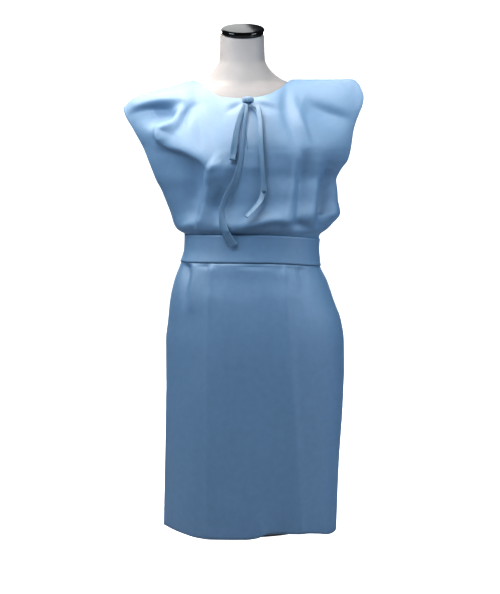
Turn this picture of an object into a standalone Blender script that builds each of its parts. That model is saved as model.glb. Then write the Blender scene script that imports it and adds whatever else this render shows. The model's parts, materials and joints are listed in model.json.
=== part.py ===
"""An exam gown, belted and tied at the neck, standing on a limbless dress form.

Blender 4.5. The model is in metres, +Z up, and faces -Y. The origin is on the floor, under the
middle of the stand. The tables below are in millimetres, and "across" runs from -1 at the left
side seam, as seen from the front, to 1 at the right one.
"""

import math

import bmesh
import bpy
import numpy as np
from mathutils import Matrix, Vector
from mathutils.bvhtree import BVHTree

MM = 0.001


def table(names, *rows):
    """A table with named columns, as one array for each column."""
    return {name: np.array(column, float) for name, column in zip(names.split(), zip(*rows))}


# Cloth and seams
WALL = 1.6
SEAM = 0.3
BELT_LIFT = 0.75
TIE_WALL = 1.2
TIE_WIDTH = 19.0

# Heights that the gown is built from
HEM = 10.0
BELT_BOTTOM = 638.0
BELT_TOP = 703.0
BUST = 880.0
BLADES = 890.0
HEM_FADE = 150.0

# The belt rides lower at the right side than at the left, and the cloth round it follows
BELT_DROP_LEFT = 1.0
BELT_DROP_RIGHT = 11.0
BELT_DROP_REACH = 75.0
BELT_OVERLAP = 2
FOLDS_FADE_NEAR_BELT = 14.0

# Armholes: the lens between the front's free edge and the back's
UNDERARM_LEFT = 716.0
UNDERARM_RIGHT = 746.0
SHOULDER_END_LEFT = 992.0
SHOULDER_END_RIGHT = 1053.0
ARMHOLE_FRONT = 28.0
ARMHOLE_BACK = 34.0
ARMHOLE_ROUND = 1.2

# The shoulder seams run from the sides in to this far across
SHOULDER_SEAM_ENDS = 0.36

# Neck slit, under the bow
SLIT_LENGTH = 118.0
SLIT_GAP = 3.0

# The gown's outline from the front
OUTLINE = table(
    "height left right",
    (10, -191, 218),
    (166, -187, 224),
    (309, -184, 233),
    (381, -183, 235),
    (452, -183, 234),
    (499, -178, 227),
    (546, -173, 210),
    (592, -163, 194),
    (632, -148, 176),
    (668, -137, 173),
    (698, -136, 176),
    (710, -154, 192),
    (721, -162, 203),
    (749, -170, 224),
    (779, -181, 218),
    (802, -190, 216),
    (825, -202, 213),
    (848, -211, 223),
    (871, -220, 239),
    (894, -229, 245),
    (940, -254, 252),
    (978, -275, 265),
    (992, -278, 271),
    (1013, -278, 275),
    (1040, -278, 267),
    (1053, -278, 258),
)

# Depth of the gown before and behind the side seams. A flat of 2 and a round of 0.5 are an ellipse.
# The front's left half turns back in a slant, and its right half is squarer
SECTIONS = table(
    "height front left_flat left_round right_flat right_round back back_flat back_round",
    (10, 126, 4.0, 1.15, 2.8, 0.50, 112, 2.6, 0.60),
    (309, 129, 3.8, 1.05, 2.8, 0.50, 122, 2.6, 0.60),
    (452, 131, 3.2, 0.85, 2.7, 0.48, 128, 2.5, 0.55),
    (546, 128, 2.7, 0.60, 2.5, 0.48, 124, 2.4, 0.50),
    (600, 122, 2.4, 0.50, 2.4, 0.48, 111, 2.2, 0.48),
    (638, 116, 2.3, 0.50, 2.3, 0.50, 101, 2.2, 0.48),
    (668, 114, 2.3, 0.50, 2.3, 0.50, 98, 2.2, 0.48),
    (703, 115, 2.3, 0.50, 2.3, 0.50, 99, 2.2, 0.48),
    (712, 124, 2.2, 0.54, 2.2, 0.54, 107, 2.2, 0.52),
    (728, 130, 2.1, 0.62, 2.1, 0.62, 112, 2.1, 0.60),
    (780, 127, 2.0, 0.78, 2.0, 0.78, 113, 2.1, 0.72),
    (840, 129, 2.0, 0.90, 2.0, 0.90, 115, 2.1, 0.80),
    (880, 136, 2.1, 0.98, 2.1, 0.98, 118, 2.2, 0.86),
    (890, 136, 2.1, 0.98, 2.1, 0.98, 118, 2.2, 0.86),
)

# Where the chest turns under, across the front
BUST_LINE = table(
    "across height",
    (-1.00, 902),
    (-0.78, 906),
    (-0.55, 884),
    (-0.41, 853),
    (-0.30, 857),
    (-0.14, 874),
    (0.02, 882),
    (0.25, 888),
    (0.60, 889),
    (1.00, 892),
)

# The front's top edge: shoulder seam, neckline, shoulder seam. A round of 2 is a quarter of an
# ellipse down to the bust line, and 1 is a straight slope
FRONT_TOP = table(
    "across x y height round",
    (-1.00, -278, 0, 992, 1.9),
    (-0.90, -252, 0, 1015, 1.9),
    (-0.72, -204, 0, 1030, 1.9),
    (-0.56, -154, 0, 1043, 1.8),
    (-0.43, -118, 0, 1054, 1.6),
    (-0.39, -107, -10, 1049, 1.5),
    (-0.31, -83, -45, 1031, 1.3),
    (-0.19, -51, -74, 1010, 1.15),
    (0.00, -2, -81, 1006, 1.1),
    (0.16, 41, -78, 1011, 1.15),
    (0.29, 78, -51, 1028, 1.3),
    (0.38, 101, -8, 1050, 1.5),
    (0.43, 112, 0, 1056, 1.6),
    (0.72, 190, 0, 1056, 1.9),
    (0.93, 246, 0, 1057, 1.9),
    (1.00, 258, 0, 1053, 1.9),
)

# The back's top edge: the same shoulder seams, and a neckline that dips only a little
BACK_TOP = table(
    "across x y height round",
    (-1.00, -278, 0, 992, 1.9),
    (-0.90, -252, 0, 1015, 1.9),
    (-0.72, -204, 0, 1030, 1.9),
    (-0.56, -154, 0, 1043, 1.8),
    (-0.43, -118, 0, 1054, 1.6),
    (-0.38, -103, 14, 1054, 1.5),
    (-0.22, -62, 60, 1050, 1.4),
    (0.00, -3, 76, 1046, 1.35),
    (0.22, 56, 60, 1050, 1.4),
    (0.38, 98, 14, 1055, 1.5),
    (0.43, 112, 0, 1056, 1.6),
    (0.72, 190, 0, 1056, 1.9),
    (0.93, 246, 0, 1057, 1.9),
    (1.00, 258, 0, 1053, 1.9),
)

# Hem of the front: it hangs lowest at the left, and steps up past the middle
FRONT_HEM = table(
    "across height",
    (-1.00, 11),
    (-0.80, 12),
    (-0.55, 9.5),
    (-0.05, 9.5),
    (0.08, 13),
    (0.17, 21),
    (0.24, 22),
    (0.60, 21),
    (0.76, 17),
    (0.90, 10),
    (1.00, 9),
)
BACK_HEM = table("across height", (-1.00, 11), (-0.30, 13), (0.40, 12), (1.00, 9))

BELT_ROWS = (BELT_BOTTOM, 655, 680, BELT_TOP)
FRONT_ROWS = (
    (10, 40, 85, 140, 205, 275, 345, 410, 465, 510, 548, 580, 605, 624)
    + BELT_ROWS
    + (710, 718, 729, 745, 765, 790, 815, 838, 856, 870, BUST)
)
BACK_ROWS = (
    (10, 60, 130, 210, 290, 370, 440, 500, 550, 590, 620)
    + BELT_ROWS
    + (712, 726, 750, 785, 825, 860, BLADES)
)
FRONT_COLUMNS, FRONT_CHEST_ROWS = 41, 11
BACK_COLUMNS, BACK_CHEST_ROWS = 33, 9
SIDE_CROWDING = 0.5

# The largest folds, seen from the front: ridges stand out and troughs go in. The width above is
# on the left of the fold's direction of travel, and the width below is on its right
FRONT_FOLDS = (
    # name, height, width above, width below, (x, z) points
    ("hollow under the left shoulder", -8, 13, 13, ((-242, 974), (-206, 988), (-150, 997))),
    ("left side of the lit chest", 7, 12, 22, ((-150, 990), (-192, 958), (-198, 936), (-178, 908))),
    ("valley from the left of the neck", -8, 10, 10, ((-84, 995), (-127, 980), (-148, 937), (-160, 912))),
    ("left ledge", 9, 26, 11, ((-178, 906), (-120, 884), (-86, 853), (-62, 857), (-26, 875))),
    ("crease below the ledge", 9, 22, 11, ((-85, 850), (-91, 790), (-102, 722))),
    ("recess at the left", -9, 26, 26, ((-158, 850), (-136, 775))),
    ("valley right of the neck", -6, 8, 8, ((97, 1015), (106, 985), (120, 940), (127, 902))),
    ("ridge right of the neck", 5, 10, 10, ((112, 1005), (128, 958), (145, 895))),
    ("hollow under the right shoulder", -9, 15, 15, ((140, 1003), (178, 992), (226, 970))),
    ("right ledge", 6, 26, 12, ((50, 888), (104, 889), (150, 889))),
    ("trough below the right ledge", -6, 13, 13, ((140, 864), (140, 785))),
    ("deep trough at the right", -9, 12, 12, ((190, 810), (186, 722))),
    ("pouch over the belt", 6, 12, 7, ((-15, 716), (41, 726), (100, 733))),
    ("dent right of the pouch", -5, 10, 10, ((120, 722), (150, 716))),
    ("pouch at the left", 4, 9, 9, ((-138, 718), (-108, 726))),
    ("left gather under the belt", 5, 8, 8, ((-74, 622), (-77, 545))),
    ("right gather under the belt", 5, 8, 8, ((92, 622), (93, 545))),
    ("left pressed crease", 3, 26, 9, ((-80, 560), (-83, 375), (-84, 30))),
    ("right pressed crease", 3, 9, 26, ((97, 560), (108, 375), (136, 30))),
)
BACK_FOLDS = (
    ("hollow under the left shoulder", -7, 16, 16, ((-236, 968), (-160, 992))),
    ("hollow under the right shoulder", -7, 16, 16, ((150, 1000), (226, 966))),
    ("left drag line", 7, 18, 12, ((-118, 905), (-92, 815), (-88, 730))),
    ("right drag line", 7, 12, 18, ((138, 905), (118, 815), (112, 730))),
    ("middle trough", -6, 22, 22, ((8, 900), (16, 735))),
    ("left gather under the belt", 5, 9, 9, ((-62, 622), (-66, 540))),
    ("right gather under the belt", 5, 9, 9, ((88, 622), (92, 540))),
    ("left pressed crease", 3, 24, 10, ((-78, 540), (-84, 30))),
    ("right pressed crease", 3, 10, 24, ((110, 540), (120, 30))),
)

# The bow: (x, z) down each ribbon, and how far its middle stands off the front
LOOP_LEFT = table(
    "x z lift",
    (5, 991, 6.2), (-3, 962, 8), (-11, 930, 8.5), (-17, 897, 7.5), (-21, 868, 7),
)
LOOP_RIGHT = table(
    "x z lift",
    (15.2, 991.5, 4.6), (26, 957, 8), (36, 915, 7.5), (41, 865, 8), (44, 825, 9), (44, 797, 10),
)
TAIL_LEFT = table(
    "x z lift",
    (5, 991, 1.8), (-6, 940, 2.8), (-9, 870, 2.5), (-22, 812, 2.5), (-34, 785, 2.5), (-46, 750, 3),
    (-47, 723, 4), (-39, 700, 5), (-19, 677, 5),
)
TAIL_RIGHT = table(
    "x z lift",
    (15.4, 991, 1.8), (26, 955, 3), (34, 915, 3), (38, 865, 3), (41, 815, 3), (38, 785, 5),
    (23, 760, 9), (5, 741, 12),
)
LOOP_SPREAD = 4.5
LOOP_PINCH = 0.45
TAIL_WIDTH = 13.0
TIE_GATHER = 0.5
KNOT_PLACE, KNOT_SIZE, KNOT_SQUARE, KNOT_LIFT = (10, 1000), (25, 18, 17), 3.2, 0.1

# The dress form: rings from its bottom to the top of its neck. The tilt leans a ring forward
FORM = table(
    "height middle half front back square tilt",
    (350, 8, 146, 100, 100, 2.2, 0),
    (355, 8, 157, 110, 112, 2.2, 0),
    (430, 8, 169, 114, 118, 2.2, 0),
    (520, 8, 170, 110, 118, 2.2, 0),
    (580, 7, 156, 102, 106, 2.2, 0),
    (640, 6, 134, 95, 92, 2.2, 0),
    (668, 6, 128, 93, 86, 2.2, 0),
    (705, 5, 130, 96, 86, 2.2, 0),
    (760, 4, 138, 104, 92, 2.2, 0),
    (820, 2, 148, 114, 100, 2.2, 0),
    (868, 1, 156, 120, 104, 2.2, 0),
    (910, 0, 163, 114, 106, 2.2, 0),
    (955, -1, 172, 95, 100, 1.9, 0),
    (985, -2, 182, 82, 91, 1.65, 0),
    (1006, -3, 184, 75, 83, 1.45, 0),
    (1021, -3, 178, 69, 76, 1.3, 0),
    (1033, -4, 162, 60, 70, 1.2, 0),
    (1040, -4, 140, 55, 66, 1.15, 0),
    (1047, -4, 112, 53, 64, 1.2, 0),
    (1053, -4, 98, 54, 63, 1.4, 0),
    (1060, -4, 85, 53, 62, 1.8, 1),
    (1070, -4, 72, 52, 61, 2.0, 2),
    (1084, -4, 60, 51, 58, 2.0, 5),
    (1100, -4, 53, 51, 56, 2.0, 9),
    (1125, -4, 51.5, 52, 55, 2.0, 15),
    (1159.5, -4, 51, 54, 54, 2.0, 20),
)
FORM_SIDES = 40

# Cap: half its width, how much deeper than wide it is, and its edge and low crown. It sits a little
# right of the neck's middle
CAP_MIDDLE = -2.5
CAP_HALF, CAP_DEEPER, CAP_THICK = 50.0, 1.09, 12.5
CAP_CHAMFER, CAP_EDGE = 1.5, 5.0
CAP_CROWN, CAP_CROWN_RISE = 36.0, 0.6

# Stand, hidden in the skirt. The base reaches back of the pole, as the body's depth does
POLE_RADIUS = 12.0
BASE_HALF, BASE_DEPTH, BASE_THICK, BASE_BEVEL = 145.0, 88.0, 6.0, 1.5
BASE_BACK = 14.0
GAP = 0.3


# Curves


def smooth_curve(places, values, at):
    """A monotone cubic through the values, level beyond both ends."""
    at = np.clip(at, places[0], places[-1])
    steps = np.diff(places)
    slopes = np.diff(values) / steps
    tangents = np.concatenate([slopes[:1], np.zeros(len(values) - 2), slopes[-1:]])
    before, after = slopes[:-1], slopes[1:]
    same = before * after > 0
    tangents[1:-1][same] = 2 * before[same] * after[same] / (before[same] + after[same])
    cell = np.clip(np.searchsorted(places, at, side="right") - 1, 0, len(steps) - 1)
    width = steps[cell]
    t = (at - places[cell]) / width
    start, end = values[cell], values[cell + 1]
    leave, arrive = tangents[cell] * width, tangents[cell + 1] * width
    blend = t * t * (3 - 2 * t)
    return start + blend * (end - start) + t * (1 - t) * ((1 - t) * leave - t * arrive)


def read(rows, column, at, key="height"):
    """A table's column at any place along its key."""
    return smooth_curve(rows[key], rows[column], at)


def soft_step(value, low, high):
    t = np.clip((value - low) / (high - low), 0, 1)
    return t * t * (3 - 2 * t)


def unit(vectors):
    return vectors / np.maximum(np.linalg.norm(vectors, axis=-1, keepdims=True), 1e-9)


# Form of the gown


def armhole(across, height, depth):
    """How far a free edge stands from the side's middle plane. Below the armhole it is half a seam."""
    low = np.where(across < 0, UNDERARM_LEFT, UNDERARM_RIGHT)
    high = np.where(across < 0, SHOULDER_END_LEFT, SHOULDER_END_RIGHT)
    share = np.clip((height - low) / (high - low), 0, 1)
    return SEAM / 2 + depth * np.sin(math.pi * share) ** ARMHOLE_ROUND


def from_belt(height):
    """How far a height lies above or below the belt."""
    return np.maximum(np.maximum(BELT_BOTTOM - height, height - BELT_TOP), 0)


def belt_drop(across, height):
    """How far the cloth sinks with the belt, most at the sides."""
    side = np.where(across < 0, BELT_DROP_LEFT, BELT_DROP_RIGHT) * across**2
    return side * (1 - soft_step(from_belt(height), 0, BELT_DROP_REACH))


def places_across(columns):
    """The columns of a panel, closer together towards its sides."""
    even = np.linspace(-1, 1, columns)
    crowded = (1 - SIDE_CROWDING) * even + SIDE_CROWDING * np.sin(even * math.pi / 2)
    return np.concatenate([[-1.0], crowded[1:-1], [1.0]])


def section_point(across, height, level, face):
    """A point of the panel below the chest. Level is the row's place in the table of sections."""
    left, right = read(OUTLINE, "left", height), read(OUTLINE, "right", height)
    x = (left + right) / 2 + (right - left) / 2 * across
    opening = armhole(across, height, ARMHOLE_FRONT if face == "front" else ARMHOLE_BACK)
    depth = read(SECTIONS, face, level) - opening
    sides = ("left", "right") if face == "front" else ("back", "back")
    flat, rounding = (
        np.where(across < 0, *(read(SECTIONS, f"{side}_{name}", level) for side in sides))
        for name in ("flat", "round")
    )
    y = opening + depth * (1 - np.abs(across) ** flat) ** rounding
    return np.stack([x, -y if face == "front" else y, height], axis=-1)


def lower_rows(across, levels, face):
    """The panel from its hem to the chest, a row of points for each level."""
    across, level = np.broadcast_arrays(across[None, :], np.array(levels, float)[:, None])
    hem = read(FRONT_HEM if face == "front" else BACK_HEM, "height", across, "across")
    top = read(BUST_LINE, "height", across, "across") if face == "front" else BLADES
    height = level - belt_drop(across, level)
    height = height + (hem - HEM) * (1 - soft_step(level, HEM, HEM_FADE))
    rise = np.clip((level - BELT_TOP) / (levels[-1] - BELT_TOP), 0, 1)
    height = np.where(level > BELT_TOP, height + (top - levels[-1]) * rise, height)
    return section_point(across, height, level, face)


def chest_rows(across, bust, count, face):
    """The panel from its chest row up to the shoulder seams and the neckline."""
    rows = FRONT_TOP if face == "front" else BACK_TOP
    gap = -SEAM / 2 if face == "front" else SEAM / 2
    top = [read(rows, name, across, "across") for name in ("x", "y", "height")]
    top = np.stack([top[0], top[1] + gap, top[2]], axis=-1)
    power = 2 / read(rows, "round", across, "across")
    turn = (np.arange(1, count + 1) / count * math.pi / 2)[:, None]
    rise, out = np.sin(turn) ** power, np.maximum(np.cos(turn), 0) ** power
    x = bust[:, 0] + (top[:, 0] - bust[:, 0]) * rise
    y = top[:, 1] + (bust[:, 1] - top[:, 1]) * out
    z = bust[:, 2] + (top[:, 2] - bust[:, 2]) * rise
    for side, name in ((0, "left"), (-1, "right")):
        miss = read(OUTLINE, name, z[:, side]) - x[:, side]
        x = x + miss[:, None] * np.where(across * across[side] > 0, across**6, 0)
    return np.stack([x, y, z], axis=-1)


def fold_height(x, z, folds):
    """How far all the folds together stand out, seen from the front."""
    total = np.zeros_like(x)
    for _, height, above, below, points in folds:
        nearest = np.full(x.shape, np.inf)
        stands = np.zeros_like(x)
        for (x0, z0), (x1, z1) in zip(points, points[1:]):
            run = math.hypot(x1 - x0, z1 - z0)
            along = np.clip(((x - x0) * (x1 - x0) + (z - z0) * (z1 - z0)) / run**2, 0, 1)
            dx, dz = x - x0 - along * (x1 - x0), z - z0 - along * (z1 - z0)
            away = np.hypot(dx, dz)
            side = (dz * (x1 - x0) - dx * (z1 - z0)) / np.maximum(away * run, 1e-6)
            width = (above + below) / 2 + (above - below) / 2 * side
            closer = away < nearest
            nearest = np.where(closer, away, nearest)
            stands = np.where(closer, height * np.exp(-((away / width) ** 2)), stands)
        total += stands
    return total


def grid_normals(points, face):
    normals = unit(np.cross(np.gradient(points, axis=1), np.gradient(points, axis=0)))
    return normals if face == "front" else -normals


def panel(face):
    """Outer and inner points of the front or the back, from the hem up."""
    columns, levels, chest, folds = (
        (FRONT_COLUMNS, FRONT_ROWS, FRONT_CHEST_ROWS, FRONT_FOLDS)
        if face == "front"
        else (BACK_COLUMNS, BACK_ROWS, BACK_CHEST_ROWS, BACK_FOLDS)
    )
    across = places_across(columns)
    lower = lower_rows(across, levels, face)
    outer = np.concatenate([lower, chest_rows(across, lower[-1], chest, face)])
    rows = np.arange(len(outer))[:, None]
    up_chest = np.clip((rows - len(levels) + 1) / chest, 0, 1)
    level = np.concatenate([levels, np.full(chest, levels[-1])])[:, None]
    calm = (1 - np.abs(across) ** 10) * (1 - up_chest**5)
    calm = calm * soft_step(from_belt(level), 0, FOLDS_FADE_NEAR_BELT)
    stands = fold_height(outer[..., 0], outer[..., 2], folds) * calm
    outer = outer + grid_normals(outer, face) * stands[..., None]
    inward = -grid_normals(outer, face)
    side = armhole(across, outer[..., 2], 1.0) - SEAM / 2
    at_side = (np.abs(across) == 1) * (1 - soft_step(side, 0.0, 0.3))
    at_shoulder = (up_chest == 1) * (np.abs(across) > SHOULDER_SEAM_ENDS)
    keep_y = 1 - np.maximum(at_side, at_shoulder)
    inward[..., 1] *= keep_y
    return outer, outer + unit(inward) * WALL


# Solids


def ring_faces(count, sides):
    """The faces of a closed body of stacked rings."""
    faces = []
    for low in range(0, (count - 1) * sides, sides):
        for side in range(sides):
            after = (side + 1) % sides
            faces.append((low + side, low + after, low + sides + after, low + sides + side))
    faces.append(tuple(range(sides)))
    faces.append(tuple(range((count - 1) * sides, count * sides)))
    return faces


def new_object(name, points, faces, colour, roughness, metallic=0.0, sharp=40):
    """A named object with its own material, its faces turned outward."""
    mesh = bpy.data.meshes.new(name)
    mesh.from_pydata([Vector(p) * MM for p in points], [], faces)
    shape = bmesh.new()
    shape.from_mesh(mesh)
    bmesh.ops.recalc_face_normals(shape, faces=shape.faces)
    shape.to_mesh(mesh)
    shape.free()
    return finish_object(name, mesh, colour, roughness, metallic, sharp)


def finish_object(name, mesh, colour, roughness, metallic=0.0, sharp=40):
    mesh.shade_smooth()
    mesh.set_sharp_from_angle(angle=math.radians(sharp))
    obj = bpy.data.objects.new(name, mesh)
    bpy.context.scene.collection.objects.link(obj)
    material = bpy.data.materials.new(name)
    material.use_nodes = True
    shader = material.node_tree.nodes["Principled BSDF"]
    shader.inputs["Base Color"].default_value = (*colour, 1)
    shader.inputs["Roughness"].default_value = roughness
    shader.inputs["Metallic"].default_value = metallic
    mesh.materials.append(material)
    return obj


def cloth_wall(name, outer, inner, slit=None):
    """The closed wall between two grids. A slit (column, row, gap) parts the column above the row."""
    column, first, gap = slit or (-1, len(outer), 0)
    points, index = [], {}

    def corner(layer, row, col, half):
        parted = col == column and row > first
        key = (layer, row, col, half if parted else 0)
        if key not in index:
            index[key] = len(points)
            open_by = gap * (row - first) / (len(outer) - 1 - first) if parted else 0
            points.append((outer, inner)[layer][row, col] + (half * open_by / 2, 0, 0))
        return index[key]

    def strip(line):
        """The rim's faces along a line of (row, column, half) corners."""
        for a, b in zip(line, line[1:]):
            faces.append((corner(0, *a), corner(0, *b), corner(1, *b), corner(1, *a)))

    faces = []
    rows, columns = outer.shape[:2]
    for row in range(rows - 1):
        for col in range(columns - 1):
            half = -1 if col < column else 1
            ring = ((row, col), (row, col + 1), (row + 1, col + 1), (row + 1, col))
            for layer in (0, 1):
                faces.append(tuple(corner(layer, r, c, half) for r, c in ring))
    strip([(0, col, 0) for col in range(columns)])
    if slit:
        strip([(rows - 1, col, -1) for col in range(column + 1)])
        strip([(rows - 1, col, 1) for col in range(column, columns)])
        strip([(row, column, -1) for row in range(first, rows)])
        strip([(row, column, 1) for row in range(first, rows)])
    else:
        strip([(rows - 1, col, 0) for col in range(columns)])
    strip([(row, 0, 0) for row in range(rows)])
    strip([(row, columns - 1, 0) for row in range(rows)])
    return new_object(name, points, faces, (0.18, 0.40, 0.62), 0.75)


def front_panel():
    outer, inner = panel("front")
    middle = FRONT_COLUMNS // 2
    first = int(np.argmin(np.abs(outer[:, middle, 2] - (outer[-1, middle, 2] - SLIT_LENGTH))))
    cloth_wall("front_panel", outer, inner, (middle, first, SLIT_GAP))


def back_panel():
    cloth_wall("back_panel", *panel("back"))


def belt():
    """One strip round both panels' own points, its end lying over its start at the back."""
    front, back = places_across(FRONT_COLUMNS), places_across(BACK_COLUMNS)
    middle = BACK_COLUMNS // 2
    start = back[middle + BELT_OVERLAP : 0 : -1]
    end = back[-2 : middle - BELT_OVERLAP - 1 : -1]
    path = np.concatenate(
        [
            lower_rows(start, BACK_ROWS, "back")[slice(*belt_rows(BACK_ROWS))],
            lower_rows(front, FRONT_ROWS, "front")[slice(*belt_rows(FRONT_ROWS))],
            lower_rows(end, BACK_ROWS, "back")[slice(*belt_rows(BACK_ROWS))],
        ],
        axis=1,
    )
    steps = unit(np.diff(path, axis=1))
    along = np.concatenate([steps[:, :1], steps[:, :-1] + steps[:, 1:], steps[:, -1:]], axis=1)
    outward = unit(np.stack([along[..., 1], -along[..., 0], np.zeros(path.shape[:2])], axis=-1))
    left_to_go = np.arange(path.shape[1])[::-1]
    over = (WALL + BELT_LIFT) * (1 - soft_step(left_to_go, 2 * BELT_OVERLAP + 1, 2 * BELT_OVERLAP + 5))
    inner = path + outward * (BELT_LIFT + over)[:, None]
    cloth_wall("belt", inner + outward * WALL, inner)


def belt_rows(levels):
    first = levels.index(BELT_BOTTOM)
    return first, first + len(BELT_ROWS)


# The bow


def front_tree():
    """The front's outer side, to lay the ribbons on."""
    outer = panel("front")[0]
    rows, columns = outer.shape[:2]
    faces = [
        (r * columns + c, r * columns + c + 1, (r + 1) * columns + c + 1, (r + 1) * columns + c)
        for r in range(rows - 1)
        for c in range(columns - 1)
    ]
    return BVHTree.FromPolygons([Vector(p) for p in outer.reshape(-1, 3)], faces)


def ribbon_line(tree, rows, count, width):
    """Points down a ribbon, lifted off the furthest of the cloth behind it, and the way it faces."""
    steps = np.hypot(np.diff(rows["x"]), np.diff(rows["z"]))
    places = np.concatenate([[0], np.cumsum(steps)])
    at = np.linspace(0, places[-1], count)
    x, z, lift = (smooth_curve(places, rows[name], at) for name in ("x", "z", "lift"))
    ahead = Vector((0, 1, 0))
    cloth, facing = np.empty((3, count)), np.zeros((count, 3))
    for edge, shift in enumerate((-width / 2, 0, width / 2)):
        for i in range(count):
            place, normal, _, _ = tree.ray_cast(Vector((x[i] + shift, -1000, z[i])), ahead)
            cloth[edge, i] = place.y
            facing[i] += np.array(normal if normal.y < 0 else -normal)
    furthest = np.pad(cloth.min(axis=0), 2, mode="edge")
    furthest = np.minimum(np.minimum(furthest[:-2], furthest[1:-1]), furthest[2:])
    y = np.convolve(furthest, np.ones(3) / 3, "valid") - lift
    facing[:, 1] = -np.abs(facing[:, 1])
    return np.stack([x, y, z], axis=-1), unit(facing * (0.2, 1, 0.5))


def ribbon(name, line, width, thick):
    """A closed strip of cloth along a line of points, with its width along the cloth behind it."""
    points, facing = line
    along = unit(np.gradient(points, axis=0))
    across = unit(np.cross(along, facing))
    facing = unit(np.cross(across, along))
    narrow = np.minimum(1, TIE_GATHER + 3 * np.linspace(0, 1, len(points)))[:, None]
    edges = np.stack([points + across * narrow * half for half in (-width / 2, width / 2)], axis=1)
    lift = facing[:, None] * thick / 2
    return cloth_wall(name, edges + lift, edges - lift)


def loop(name, tree, rows):
    """A ribbon that runs down and comes back up before itself, as the bow's loops do."""
    down, _ = ribbon_line(tree, rows, 14, TIE_WIDTH)
    share = np.linspace(0, 1, len(down))
    spread = LOOP_SPREAD * (LOOP_PINCH + (1 - LOOP_PINCH) * np.sin(share * math.pi) ** 0.7)
    up = down[::-1] - spread[::-1, None] * (0, 1, 0)
    turn = (down[-1] + up[0]) / 2 + (0, 0, -LOOP_SPREAD * 0.7)
    line = np.concatenate([down, [turn], up])
    along = unit(np.gradient(line, axis=0))
    sideways = unit(np.array([along[3][2], 0, -along[3][0]]))
    narrow = np.minimum(1, TIE_GATHER + 2 * np.concatenate([share, [1], share[::-1]]))
    half = sideways * (narrow * TIE_WIDTH / 2)[:, None]
    outer = np.stack([line - half, line + half], axis=1)
    inward = unit(np.cross(along, sideways))[:, None] * TIE_WALL
    return cloth_wall(name, outer, outer + inward)


def bow():
    tree = front_tree()
    loop("tie_loop_left", tree, LOOP_LEFT)
    loop("tie_loop_right", tree, LOOP_RIGHT)
    for side, rows, count in (("left", TAIL_LEFT, 28), ("right", TAIL_RIGHT, 22)):
        ribbon(f"tie_tail_{side}", ribbon_line(tree, rows, count, TAIL_WIDTH), TAIL_WIDTH, TIE_WALL)
    knot(tree)


def knot(tree):
    """The wrapped middle of the bow, a rounded block just off the cloth."""
    x, z = KNOT_PLACE
    behind = [tree.ray_cast(Vector((x, -1000, z + rise)), Vector((0, 1, 0)))[0] for rise in (-6, 0, 4)]
    place = Vector((x, min(spot.y for spot in behind), z))
    shape = bmesh.new()
    bmesh.ops.create_icosphere(shape, subdivisions=3, radius=1)
    for point in shape.verts:
        square = sum(abs(part) ** KNOT_SQUARE for part in point.co) ** (1 / KNOT_SQUARE)
        point.co = Vector(part / square * size / 2 for part, size in zip(point.co, KNOT_SIZE))
        point.co += place - Vector((0, KNOT_SIZE[1] / 2 + KNOT_LIFT, 0))
        point.co *= MM
    mesh = bpy.data.meshes.new("tie_knot")
    shape.to_mesh(mesh)
    shape.free()
    finish_object("tie_knot", mesh, (0.18, 0.40, 0.62), 0.75)


# The dress form and its stand


def form_rings():
    """Rings of points round the form, bottom to top."""
    turn = np.linspace(0, 2 * math.pi, FORM_SIDES, endpoint=False)
    cosine, sine = np.cos(turn), np.sin(turn)
    rings = []
    for height, middle, half, front, back, square, tilt in zip(*FORM.values()):
        x = half * np.sign(cosine) * np.abs(cosine) ** (2 / square)
        y = np.where(sine < 0, front, back) * np.sign(sine) * np.abs(sine) ** (2 / square)
        lean = math.radians(tilt)
        rings.append(np.stack([x + middle, y * math.cos(lean), height + y * math.sin(lean)], axis=-1))
    return np.array(rings)


def dress_form():
    rings = form_rings()
    faces = ring_faces(*rings.shape[:2])
    new_object("dress_form", rings.reshape(-1, 3), faces, (0.75, 0.75, 0.74), 0.6, sharp=50)


def neck_cap():
    """A low round cap, turned from its edge's profile, on the neck's tilted top."""
    height, tilt = FORM["height"][-1], FORM["tilt"][-1]
    profile = [(CAP_HALF - CAP_CHAMFER, 0), (CAP_HALF, CAP_CHAMFER)]
    for bend in np.linspace(0, math.pi / 2, 5):
        half = CAP_HALF - CAP_EDGE * (1 - math.cos(bend))
        profile.append((half, CAP_THICK - CAP_EDGE * (1 - math.sin(bend))))
    profile.append((CAP_CROWN, CAP_THICK + CAP_CROWN_RISE))
    turn = np.linspace(0, 2 * math.pi, FORM_SIDES, endpoint=False)
    lean = Matrix.Rotation(math.radians(tilt), 3, "X")
    points = []
    for half, rise in profile:
        for a in turn:
            flat = Vector((half * math.cos(a), half * CAP_DEEPER * math.sin(a), rise + GAP))
            points.append(lean @ flat + Vector((CAP_MIDDLE, 0, height)))
    faces = ring_faces(len(profile), FORM_SIDES)
    new_object("neck_cap", points, faces, (0.01, 0.01, 0.011), 0.12)


def turned(name, radius, low, high, colour, roughness, metallic, sides=48):
    """A plain round piece between two heights, its radius given along X and Y."""
    shape = bmesh.new()
    bmesh.ops.create_cone(
        shape, cap_ends=True, segments=sides, radius1=1, radius2=1, depth=(high - low) * MM
    )
    for point in shape.verts:
        point.co.x *= radius[0] * MM
        point.co.y *= radius[1] * MM
    mesh = bpy.data.meshes.new(name)
    shape.to_mesh(mesh)
    shape.free()
    obj = finish_object(name, mesh, colour, roughness, metallic)
    obj.location.z = (low + high) / 2 * MM
    return obj


def stand():
    form_bottom = FORM["height"][0]
    turned("stand_pole", (POLE_RADIUS, POLE_RADIUS), BASE_THICK + GAP, form_bottom - GAP,
           (0.55, 0.56, 0.58), 0.3, 1.0, sides=32)
    base = turned("stand_base", (BASE_HALF, BASE_DEPTH), 0, BASE_THICK, (0.8, 0.8, 0.79), 0.45, 0.0)
    base.location.y = BASE_BACK * MM
    edge = base.modifiers.new("edge", "BEVEL")
    edge.width = BASE_BEVEL * MM
    edge.segments = 2


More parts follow.
